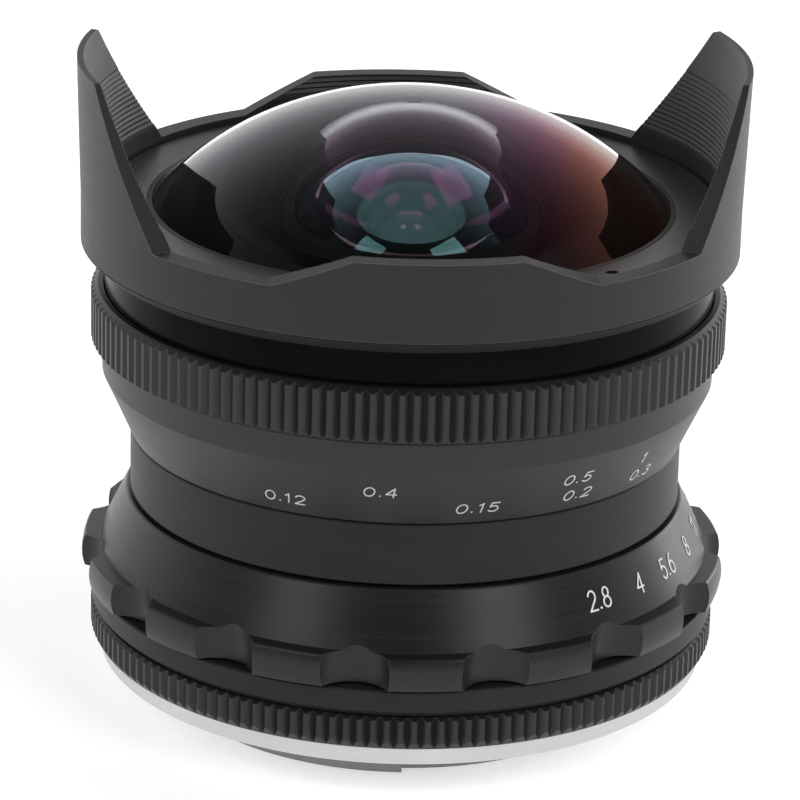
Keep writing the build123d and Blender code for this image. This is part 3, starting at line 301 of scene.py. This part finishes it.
# the collar under the mount face gets painted shade in its colour
mountMetal = metal("mountMetal", {
    "lines": 6000.0, "grain": 7000.0, "dark": (0.56, 0.56, 0.57, 1), "light": (0.7, 0.7, 0.71, 1),
    "paintedShadeBelow": grey(0.4), "metallic": 0.85, "smooth": 0.3, "rough": 0.46, "relief": 0.004, "rounding": 0.08})
steel = metal("screwSteel", {
    "lines": 5000.0, "grain": 9000.0, "dark": (0.3, 0.3, 0.31, 1), "light": (0.45, 0.45, 0.46, 1),
    "metallic": 0.9, "smooth": 0.25, "rough": 0.4, "relief": 0.002, "rounding": 0.05})
bladeSteel = metal("bladeSteel", {
    "lines": 3000.0, "grain": 9000.0, "dark": (0.03, 0.03, 0.033, 1), "light": (0.06, 0.06, 0.065, 1),
    "metallic": 0.7, "smooth": 0.35, "rough": 0.5, "relief": 0.002, "rounding": 0})
screwBlack = metal("screwBlack", {
    "lines": 5000.0, "grain": 9000.0, "dark": (0.02, 0.02, 0.022, 1), "light": (0.045, 0.045, 0.05, 1),
    "metallic": 0.6, "smooth": 0.3, "rough": 0.45, "relief": 0.002, "rounding": 0})
brass = metal("helicoidBrass", {
    "lines": 7000.0, "grain": 8000.0, "dark": (0.5, 0.34, 0.13, 1), "light": (0.72, 0.52, 0.22, 1),
    "thread": 0.7, "metallic": 0.95, "smooth": 0.25, "rough": 0.4, "relief": 0.003, "rounding": 0})

plasticLook = {"grain": 4500.0, "cloud": 150.0, "dark": 0.008, "light": 0.02, "smooth": 0.45, "rough": 0.65,
               "relief": 0.012}


def blackPlastic():
    look = plasticLook
    finish = Finish("blackPlastic", {"Specular IOR Level": 0.45})
    grain = finish.noise(finish.place(), look["grain"], 4.0, 0.65)
    cloud = finish.noise(finish.place(), look["cloud"])
    finish.set("Base Color", finish.blend(grain, grey(look["dark"]), grey(look["light"])))
    finish.set("Roughness", finish.spread(cloud * 0.5 + grain * 0.5, look["smooth"], look["rough"]))
    finish.bump(grain, look["relief"] * mm)
    return finish


plasticBlack = blackPlastic()

# Reflections of the coatings from face on to the edge, and how they tint. On the first element a painted
# reflection is placed by position: towards one side its reflection grows stronger and its tint runs from violet
# to red and orange.
white = (1.0, 1.0, 1.0, 1)
glassLook = {
    "body": {"Base Color": (0.97, 0.985, 0.98, 1), "Transmission Weight": 1.0, "IOR": 1.6, "Roughness": 0.0,
             "Specular Tint": (0.06, 0.03, 0.06, 1)},
    "filmRoughness": 0.01,
    "paint": {"Base Color": grey(0.004), "Roughness": 0.6, "Specular IOR Level": 0.2},
    "paintInset": 0.03,  # blackened rim and border, in mm
    "strength": [(0.0, 0.004), (0.3, 0.005), (0.45, 0.008), (0.55, 0.016), (0.65, 0.022), (0.75, 0.075),
                 (0.86, 0.22), (0.94, 0.45), (1.0, 0.8)],
    "grazingRun": (0.66, 0.86), "grazingWhite": 0.85,  # towards the edge the tint fades out
    "rearStrength": [(0.0, 0.01), (0.1, 0.014), (0.14, 0.03), (0.17, 0.14), (0.195, 0.6), (0.225, 0.95)],
    "rearTints": [(0.0, (1.0, 0.1, 0.7, 1)), (0.12, (1.0, 0.4, 0.9, 1)), (0.18, (0.95, 0.93, 1.0, 1)),
                  (1.0, white)],
    "innerStrength": [(0.0, 0.03), (0.2, 0.05), (0.35, 0.09), (0.55, 0.2), (0.75, 0.3), (0.9, 0.3), (1.0, 0.3)],
    "behindStrength": [(0.0, 0.006), (0.05, 0.01), (0.09, 0.06), (0.12, 0.05), (0.16, 0.02), (1.0, 0.02)],
    "behindTint": (1.0, 0.12, 0.6, 1),  # the rear surfaces of the inner elements
    # the painted reflection on the first element: where it starts and ends across the glass, and how much
    # stronger it gets
    "paintedReflectionStart": 4.0, "paintedReflectionEnd": 20.0, "paintedReflectionGain": 3.0,  # mm across, and how much stronger that side is
    "paintedReflectionTints": [(0.0, (0.93, 0.9, 1.0, 1)), (0.28, (1.0, 0.6, 0.95, 1)), (0.5, (1.0, 0.34, 0.6, 1)),
                  (0.72, (1.0, 0.27, 0.24, 1)), (1.0, (1.0, 0.32, 0.12, 1))],
    "tints": {  # the last one also serves all the elements behind it
        2: [(0.0, (0.3, 0.75, 0.75, 1)), (0.5, (0.5, 0.75, 1.0, 1)), (1.0, (0.8, 0.9, 1, 1))],
        3: [(0.0, (0.35, 0.9, 0.75, 1)), (0.5, (0.5, 0.8, 1.0, 1)), (1.0, white)],
        4: [(0.0, (0.7, 0.4, 0.8, 1)), (0.5, (1.0, 0.3, 0.7, 1)), (1.0, white)],
        5: [(0.0, (0.9, 0.3, 0.7, 1)), (0.5, (1.0, 0.35, 0.4, 1)), (1.0, white)],
        6: [(0.0, (0.3, 0.85, 0.6, 1)), (0.6, (0.6, 1.0, 0.7, 1)), (1.0, white)],
    },
}


def coatedGlass(number):
    # clear glass, blackened round its rim, under a thin coating whose tint changes towards the edge
    look = glassLook
    finish = Finish("element%dGlass" % number, look["body"])
    low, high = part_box("element_%d" % number)
    inset = look["paintInset"] * mm
    facing = finish.node("ShaderNodeLayerWeight", {}, {"Blend": 0.5}, "Facing")
    inside = finish.node("ShaderNodeNewGeometry", output="Backfacing")
    if number == 1:
        # painted reflection: by position across the glass, one side reflects more strongly and is tinted from
        # violet to red and orange
        across = finish.split(finish.place())[0]
        side = finish.ramp(across, look["paintedReflectionStart"] * mm, look["paintedReflectionEnd"] * mm, 0.0, 1.0)
        grazing = finish.ramp(facing, *look["grazingRun"], 0.0, look["grazingWhite"])
        frontTint = finish.blend(grazing, finish.shades(side, look["paintedReflectionTints"]), white)
        paintedReflectionBoost = 1 + side * (1 - grazing) * (look["paintedReflectionGain"] - 1)
        frontStrength = finish.levels(facing, look["strength"]) * paintedReflectionBoost
        # the rear surface, met from inside the glass, mirrors all that comes in past a small angle
        rearTint = finish.shades(facing, look["rearTints"])
        rearStrength = finish.levels(facing, look["rearStrength"])
    else:
        frontTint = finish.shades(facing, look["tints"][min(number, max(look["tints"]))])
        frontStrength = finish.levels(facing, look["innerStrength"])
        rearTint = look["behindTint"]
        rearStrength = finish.levels(facing, look["behindStrength"])
    tint = finish.blend(inside, frontTint, rearTint)
    film = finish.node("ShaderNodeBsdfPrincipled", {}, {
        "Base Color": tint, "Metallic": 1.0, "Roughness": look["filmRoughness"]})
    strength = frontStrength * (1 - inside) + inside * rearStrength
    coated = finish.node("ShaderNodeMixShader", {}, {0: strength, 1: finish.body, 2: film})
    paint = finish.node("ShaderNodeBsdfPrincipled", {}, look["paint"])
    fromAxis = finish.length(finish.fromAxis())
    rim = fromAxis.math("GREATER_THAN", fromAxis, high.x - inset)
    if number == 1:
        height = finish.split(finish.place())[2]
        rim = rim.math("MAXIMUM", rim, height.math("LESS_THAN", height, low.z + inset))
    finish.wear(finish.node("ShaderNodeMixShader", {}, {0: rim, 1: coated, 2: paint}))
    return finish


# the finish of every carried-over piece
finishOf = {
    bodyBlack: ["index_ring", "rear_collar", "front_band", "main_barrel"],
    ringBlack: ["name_ring"],
    knurlBlack: ["focus_ring", "rear_grip_ring"],
    coneBlack: ["aperture_ring"],
    hoodBlack: ["hood"],
    innerBlack: ["optical_barrel", "front_cell", "rear_cell", "focus_retainer", "element_2_retainer",
                 "element_3_retainer", "front_spacer", "rear_spacer_1", "rear_spacer_2", "rear_retainer",
                 "iris_housing", "iris_cover"],
    mountMetal: ["mount_flange"],
    steel: ["mount_screws", "barrel_screws", "focus_stop_screw", "guide_keys", "click_ball", "click_spring",
            "aperture_pin", "iris_ring"],
    screwBlack: ["index_set_screws", "hood_screws"],
    bladeSteel: ["iris_blade_%02d" % number for number in range(1, 13)],
    brass: ["helicoid_ring"],
    plasticBlack: ["rear_baffle", "front_seal"],
    glossBlack: ["front_sleeve"],
}
for number in range(1, 12):
    finishOf[coatedGlass(number)] = ["element_%d" % number]
dressed = set()
for finish, names in finishOf.items():
    for name in names:
        for materialSlot in nodes[name].material_slots:
            materialSlot.material = finish.material
        dressed.add(name)
print("finishes ready, left without one:", sorted(set(nodes) - dressed))


def meshPiece(name, mesh, finish):
    made = bpy.data.meshes.new(name)
    mesh.to_mesh(made)
    mesh.free()
    made.materials.append(finish.material)
    piece = bpy.data.objects.new(name, made)
    scene.collection.objects.link(piece)
    return piece


# Dial numbers: strokes of an engraver's alphabet, in cells one wide and one high, laid on the cones.

def bow(cx, cy, rx, ry, start, end, steps=20):
    angles = [math.radians(start + (end - start) * i / steps) for i in range(steps + 1)]
    return [(cx + rx * math.cos(a), cy + ry * math.sin(a)) for a in angles]


def run(*points, steps=4):
    # straight strokes between the points, a few steps each so that they follow the cone
    return [[(a[0] + (b[0] - a[0]) * i / steps, a[1] + (b[1] - a[1]) * i / steps) for i in range(steps + 1)]
            for a, b in zip(points, points[1:])]


def endless(steps=48, height=1.15):
    # the sign for infinity, a figure of eight on its side
    angles = [math.tau * i / steps for i in range(steps + 1)]
    return [(0.5 + 0.5 * math.cos(a) / (1 + math.sin(a) ** 2),
             0.5 + height * math.sin(a) * math.cos(a) / (1 + math.sin(a) ** 2)) for a in angles]


digits = {
    "0": [bow(0.5, 0.5, 0.5, 0.5, 90, 450, 36)],
    "1": run((0.2, 0.8), (0.55, 1.0), (0.55, 0.0)),
    "2": [bow(0.5, 0.71, 0.46, 0.29, 165, -35)] + run((0.877, 0.544), (0.03, 0.0), (1.0, 0.0)),
    "3": [bow(0.46, 0.75, 0.4, 0.25, 150, -90), bow(0.46, 0.25, 0.46, 0.25, 90, -150)],
    "4": run((0.74, 0.0), (0.74, 1.0), (0.0, 0.3), (1.0, 0.3)),
    "5": run((0.92, 1.0), (0.2, 1.0), (0.12, 0.54)) + [bow(0.48, 0.32, 0.48, 0.32, 140, -150)],
    "6": [bow(0.5, 0.31, 0.48, 0.31, 90, 450, 30), bow(0.9, 0.31, 0.88, 0.72, 180, 108, 14)],
    "8": [bow(0.5, 0.76, 0.38, 0.24, 90, 450, 28), bow(0.5, 0.26, 0.48, 0.26, 90, 450, 30)],
    "|": run((0.5, 0.0), (0.5, 1.0)),
    "i": [endless()],
}
figureLook = {
    "widths": {"1": 0.6, ".": 0.3, "i": 2.0},  # next to a whole cell
    "stretched": "i",  # drawn over its own width instead of a cell
    "oneShift": -0.2,  # the narrow figure moves over in its cell
    "dotHalf": 0.01, "dotHeight": 0.09, "dotShare": 1.25,
}


def figure(text, style):
    # strokes of a whole number, its middle at 0, in millimetres, with each dot as a short fat stroke
    cell, tall, stroke = style["width"], style["height"], style["stroke"]
    strokes, pen = [], 0.0
    for mark in text:
        width = cell * figureLook["widths"].get(mark, 1.0)
        if mark == ".":
            middle, half = pen + width / 2, figureLook["dotHalf"]
            dot = [(middle - half, figureLook["dotHeight"]), (middle + half, figureLook["dotHeight"])]
            strokes.append((dot, stroke * figureLook["dotShare"]))
        else:
            scale = width if mark == figureLook["stretched"] else cell
            shift = figureLook["oneShift"] * cell if mark == "1" else 0.0
            for points in digits[mark]:
                strokes.append(([(pen + shift + x * scale, y * tall) for x, y in points], stroke))
        pen += width + style["space"]
    half = (pen - style["space"]) / 2
    lean = math.tan(math.radians(style["lean"]))
    return [([(x - half + (y - tall / 2) * lean, y - tall / 2) for x, y in points], wide)
            for points, wide in strokes]


def ribbon(points, wide, capSteps=8):
    # left side, right side and both round ends of one stroke
    def heading(i):
        a, b = Vector(points[max(i - 1, 0)]), Vector(points[min(i + 1, len(points) - 1)])
        return (b - a).normalized()
    half = wide / 2
    left, right = [], []
    for i, point in enumerate(points):
        along = heading(i)
        side = Vector((-along.y, along.x)) * half
        left.append(Vector(point) + side)
        right.append(Vector(point) - side)
    caps = []
    for point, along in ((points[-1], heading(len(points) - 1)), (points[0], -heading(0))):
        first = math.atan2(along.y, along.x) + math.pi / 2
        angles = [first - math.pi * k / capSteps for k in range(capSteps + 1)]
        caps.append([Vector(point) + Vector((math.cos(a), math.sin(a))) * half for a in angles])
    return left, right, caps


paintLook = {
    "grain": 12000.0, "dark": 0.62, "light": 0.9, "smooth": 0.5, "rough": 0.7, "relief": 0.003,
    # mm: how proud the first stroke stands, how much each next one, how many steps, and the depth
    "proud": 0.012, "step": 0.0004, "steps": 7, "depth": 0.03,
}


def dialPaint():
    look = paintLook
    finish = Finish("dialPaint", {"Specular IOR Level": 0.3})
    grain = finish.noise(finish.place(), look["grain"], 3.0, 0.6)
    finish.set("Base Color", finish.blend(grain, grey(look["dark"]), grey(look["light"])))
    finish.set("Roughness", finish.spread(grain, look["smooth"], look["rough"]))
    finish.bump(grain, look["relief"] * mm)
    return finish


def numberPiece(name, body, dial, finish):
    (lowZ, lowR), (highZ, highR) = dial["cone"]
    slope = math.hypot(highZ - lowZ, highR - lowR)
    up = Vector(((highR - lowR) / slope, (highZ - lowZ) / slope))
    out = Vector((up.y, -up.x))
    mesh = bmesh.new()
    layer = 0
    for text, azimuth, row in dial["numbers"]:
        height = dial["rows"][row]
        baseR = lowR + (highR - lowR) * (height - lowZ) / (highZ - lowZ)
        for points, wide in figure(text, dial):
            left, right, caps = ribbon(points, wide)
            proud = paintLook["proud"] + paintLook["step"] * (layer % paintLook["steps"])
            layer += 1

            def laid(flat):
                radius = baseR + flat.y * up.x + proud * out.x
                angle = math.radians(azimuth) + flat.x / baseR
                level = height + flat.y * up.y + proud * out.y
                return mesh.verts.new(Vector((radius * math.sin(angle), -radius * math.cos(angle), level)) * mm)
            leftSide = [laid(p) for p in left]
            rightSide = [laid(p) for p in right]
            for i in range(len(points) - 1):
                mesh.faces.new((leftSide[i], rightSide[i], rightSide[i + 1], leftSide[i + 1]))
            for cap in caps:
                mesh.faces.new([laid(p) for p in reversed(cap)])
    bmesh.ops.recalc_face_normals(mesh, faces=mesh.faces)
    for face in mesh.faces:
        middle = face.calc_center_median()
        if face.normal.dot(Vector((middle.x, middle.y, 0))) < 0:
            face.normal_flip()
    piece = meshPiece(name, mesh, finish)
    depth = piece.modifiers.new("depth", "SOLIDIFY")
    depth.thickness = paintLook["depth"] * mm
    depth.offset = -1.0
    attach(piece, body)


# Each cone gives two heights with their radii, and each number its azimuth and row. The height, width,
# stroke and space of a figure are in mm and its lean in degrees.
focusDial = {
    "cone": ((23.4, 27.25), (29.5, 30.0)), "rows": {"low": 25.1, "high": 27.05},
    "width": 0.98, "height": 1.12, "stroke": 0.135, "space": 0.4, "lean": 10.0,
    "numbers": [("0.12", -23.25, "low"), ("0.15", 14.4, "low"), ("0.2", 35.75, "low"), ("0.3", 53.5, "low"),
                ("0.4", -4.25, "high"), ("0.5", 34.5, "high"), ("1", 52.0, "high"), ("i", 98.75, "low")],
}
apertureDial = {
    "cone": ((11.45, 30.15), (16.85, 27.65)), "rows": {"middle": 14.1},
    "width": 0.92, "height": 1.9, "stroke": 0.18, "space": 0.3, "lean": 0.0,
    "numbers": [(text, azimuth, "middle") for text, azimuth in (
        ("2.8", 40.75), ("4", 52.25), ("5.6", 62.9), ("8", 74.3), ("11", 85.0), ("16", 92.5), ("22", 98.75))],
}
indexMarks = {
    "cone": ((17.1, 27.2), (23.25, 27.2)), "rows": {"low": 18.3, "high": 22.1},
    "width": 0.5, "height": 1.7, "stroke": 0.2, "space": 0.0, "lean": 0.0,
    "numbers": [("|", 98.75, "low"), ("|", 98.75, "high")],
}
paint = dialPaint()
numberPiece("focusNumbers", "focus_ring", focusDial, paint)
numberPiece("apertureNumbers", "aperture_ring", apertureDial, paint)
numberPiece("indexLines", "root", indexMarks, paint)
print("numbers ready")


# Screws with their drives: each is lofted through rings of points about its own axis.

def crossRadius(angle, reach, half):
    # outline of a cross recess with arms of this reach and half width
    turn = (angle + math.pi / 4) % (math.pi / 2) - math.pi / 4
    return min(reach / math.cos(turn), half / max(abs(math.sin(turn)), 0.0001))


def hexRadius(angle, flat):
    turn = (angle + math.pi / 6) % (math.pi / 3) - math.pi / 6
    return flat / math.cos(turn)


def loftScrew(mesh, axes, rings, steps=72):
    # a ring is a depth along the axis and the radius at an angle
    angles = [math.tau * i / steps for i in range(steps)]
    rows = []
    for depth, radius in rings:
        rows.append([mesh.verts.new(axes @ Vector((radius(a) * math.cos(a), radius(a) * math.sin(a), depth)))
                     for a in angles])
    for row, after in zip(rows, rows[1:]):
        for i in range(steps):
            mesh.faces.new((row[i], row[(i + 1) % steps], after[(i + 1) % steps], after[i]))
    for row, depth in ((rows[0], rings[0][0]), (rows[-1], rings[-1][0])):
        middle = mesh.verts.new(axes @ Vector((0, 0, depth)))
        for i in range(steps):
            mesh.faces.new((middle, row[i], row[(i + 1) % steps]))


def screwPiece(name, places, rings, finish, replaced):
    mesh = bmesh.new()
    for axes in places:
        loftScrew(mesh, axes, rings)
    bmesh.ops.recalc_face_normals(mesh, faces=mesh.faces)
    piece = meshPiece(name, mesh, finish)
    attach(piece, "root")
    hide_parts(replaced)


def axesAt(place, outward):
    # local z runs outward from the object
    return Matrix.Translation(place) @ outward.to_track_quat("Z", "Y").to_matrix().to_4x4()


def toward(azimuth):
    angle = math.radians(azimuth)
    return Vector((math.sin(angle), -math.cos(angle), 0))


# lengths in mm: countersunk screws with a cross recess that narrows towards its bottom
mountScrew = {"head": 1.6, "shaft": 0.8, "edge": 0.06, "reach": 0.95, "half": 0.2, "depth": 0.75,
              "reachTaper": 0.45, "halfTaper": 0.6, "azimuths": (45, 135, 225, 315)}
grubScrew = {"radius": 0.7, "edge": 0.08, "flat": 0.33, "depth": 0.7, "flatTaper": 0.95,
             "pointShare": 0.7, "azimuths": (-135, 135)}


def makeMountScrews():
    low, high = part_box("mount_screws")
    head, shaft, edge, reach, half, depth = [
        mountScrew[name] * mm for name in ("head", "shaft", "edge", "reach", "half", "depth")]
    deepReach, deepHalf = reach * mountScrew["reachTaper"], half * mountScrew["halfTaper"]
    circle = (high.x - head) * math.sqrt(2)
    places = [axesAt(toward(azimuth) * circle + Vector((0, 0, low.z)), Vector((0, 0, -1)))
              for azimuth in mountScrew["azimuths"]]
    screwPiece("mountScrewsDetailed", places, [
        (low.z - high.z, lambda a: shaft),
        (shaft - head, lambda a: shaft),
        (-edge, lambda a: head - edge / 2),
        (0, lambda a: head - 1.5 * edge),
        (0, lambda a: crossRadius(a, reach, half)),
        (-depth, lambda a: crossRadius(a, deepReach, deepHalf)),
    ], steel, "mount_screws")


def makeGrubScrews():
    low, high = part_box("index_set_screws")
    radius, edge, flat, depth = [grubScrew[name] * mm for name in ("radius", "edge", "flat", "depth")]
    point, deepFlat = radius * grubScrew["pointShare"], flat * grubScrew["flatTaper"]
    outer = high.y * math.sqrt(2) - radius
    length = outer - low.y * math.sqrt(2) - radius
    level = (low.z + high.z) / 2
    places = [axesAt(toward(azimuth) * outer + Vector((0, 0, level)), toward(azimuth))
              for azimuth in grubScrew["azimuths"]]
    screwPiece("indexScrewsDetailed", places, [
        (-length, lambda a: point),
        (-length + radius - point, lambda a: radius),
        (-edge, lambda a: radius),
        (0, lambda a: radius - edge),
        (0, lambda a: hexRadius(a, flat)),
        (-depth, lambda a: hexRadius(a, deepFlat)),
    ], screwBlack, "index_set_screws")


makeMountScrews()
makeGrubScrews()
print("screws ready")

studio = {
    "floorHeight": -4.1, "floorGap": 0.02,  # mm
    "floorReach": 1.6, "floorSquares": 24, "fibreScale": 900.0, "floorColor": 0.86, "fibreGain": 1.02,
    "floorGlow": 0.45, "fadeReach": (0.32, 0.6),  # in metres, where the paper turns into the white backdrop
    "roomLevel": 0.22,  # plain light from all round
    "wallFade": [(0.0, 1.0), (0.12, 1.0), (0.4, 0.75), (0.8, 0.45), (1.0, 0.35)],
    "frontLevel": 0.06, "frontRun": (-0.35, 0.3),  # what a reflection shows of the dim room in front
    "lampAim": 0.03,
    "lamps": [
        # name, azimuth, elevation, distance, width, height, power, shown in reflections, shown through glass
        ("leftBox", -42, 36, 0.75, 0.26, 0.42, 1.3, True, True),
        ("rightBox", 40, 36, 0.75, 0.3, 0.46, 1.8, True, True),
        ("leftCard", -98, 12, 0.75, 0.4, 0.3, 2.2, False, False),
        ("rightCard", 98, 14, 0.75, 0.4, 0.3, 2.2, False, False),
        ("backBox", 178, 34, 0.8, 0.75, 0.22, 1.6, False, False),
        ("rightRim", 130, 8, 0.75, 0.34, 0.3, 1.2, True, False),
    ],
    "camera": {"place": (0.0, -0.39764, 0.1721), "pitch": 0.352958, "yaw": 0.0015306, "roll": 0.0265762,
               "lens": 192.79, "sensor": 36.0, "clip": (0.01, 20.0)},
}


def makeFloor():
    finish = Finish("floorPaper", {"Roughness": 0.8, "Specular IOR Level": 0.2})
    fibre = finish.noise(finish.place(), studio["fibreScale"], 4.0)
    paper = studio["floorColor"]
    finish.set("Base Color", finish.blend(fibre, grey(paper), grey(paper * studio["fibreGain"])))
    away = finish.ramp(finish.length(finish.place()), *studio["fadeReach"], 0.0, 1.0)
    glow = finish.node("ShaderNodeEmission", {}, {
        "Color": finish.blend(away, grey(studio["floorGlow"]), white), "Strength": finish.litBackground()})
    finish.wear(finish.node("ShaderNodeAddShader", {}, {0: finish.body, 1: glow}))
    mesh = bmesh.new()
    squares = studio["floorSquares"]
    bmesh.ops.create_grid(mesh, x_segments=squares, y_segments=squares, size=studio["floorReach"])
    for vert in mesh.verts:
        vert.co.z = (studio["floorHeight"] - studio["floorGap"]) * mm
    meshPiece("floor", mesh, finish)


def makeWorld():
    world = bpy.data.worlds.new("studio")
    scene.world = world
    world.use_nodes = True
    sky = Tree(world.node_tree)
    depth, height = sky.split(sky.node("ShaderNodeTexCoord", output="Generated"))[1:]
    # a reflection shows white walls behind the object, and a dim room above and in front of it
    walls = sky.blend(sky.ramp(depth, *studio["frontRun"], 0.0, 1.0),
                      grey(studio["frontLevel"]), sky.levels(height, studio["wallFade"]))
    path = sky.node("ShaderNodeLightPath", output="Is Camera Ray")
    seen = sky.litBackground()
    background = sky.node("ShaderNodeBackground", {}, {
        "Color": sky.blend(seen - path, white, walls),
        "Strength": sky.ramp(seen, 0.0, 1.0, studio["roomLevel"], 1.0)})
    sky.node("ShaderNodeOutputWorld", {}, {0: background}, None)


def makeLamps():
    for name, azimuth, elevation, distance, width, height, power, shown, through in studio["lamps"]:
        data = bpy.data.lights.new(name, "AREA")
        data.shape = "RECTANGLE"
        data.size, data.size_y, data.energy = width, height, power
        lamp = bpy.data.objects.new(name, data)
        scene.collection.objects.link(lamp)
        lamp.visible_glossy, lamp.visible_transmission = shown, through
        rise = math.radians(elevation)
        away = toward(azimuth) * math.cos(rise) + Vector((0, 0, math.sin(rise)))
        lamp.location = away * distance + Vector((0, 0, studio["lampAim"]))
        lamp.rotation_euler = (-away).to_track_quat("-Z", "Y").to_euler()


def makeCamera():
    values = studio["camera"]
    pitch, yaw, roll = values["pitch"], values["yaw"], values["roll"]
    level = Vector((-math.sin(yaw), math.cos(yaw), 0))
    right = Vector((math.cos(yaw), math.sin(yaw), 0))
    up = Vector((0, 0, 1))
    front = level * math.cos(pitch) - up * math.sin(pitch)
    top = level * math.sin(pitch) + up * math.cos(pitch)
    tiltedRight = right * math.cos(roll) + top * math.sin(roll)
    tiltedTop = top * math.cos(roll) - right * math.sin(roll)
    data = bpy.data.cameras.new("camera")
    data.lens, data.sensor_width = values["lens"], values["sensor"]
    data.clip_start, data.clip_end = values["clip"]
    camera = bpy.data.objects.new("camera", data)
    scene.collection.objects.link(camera)
    camera.matrix_world = Matrix.Translation(values["place"]) @ Matrix(
        (tiltedRight, tiltedTop, -front)).transposed().to_4x4()
    scene.camera = camera


makeFloor()
makeWorld()
makeLamps()
makeCamera()
scene.view_settings.view_transform = "Standard"
print("studio ready")
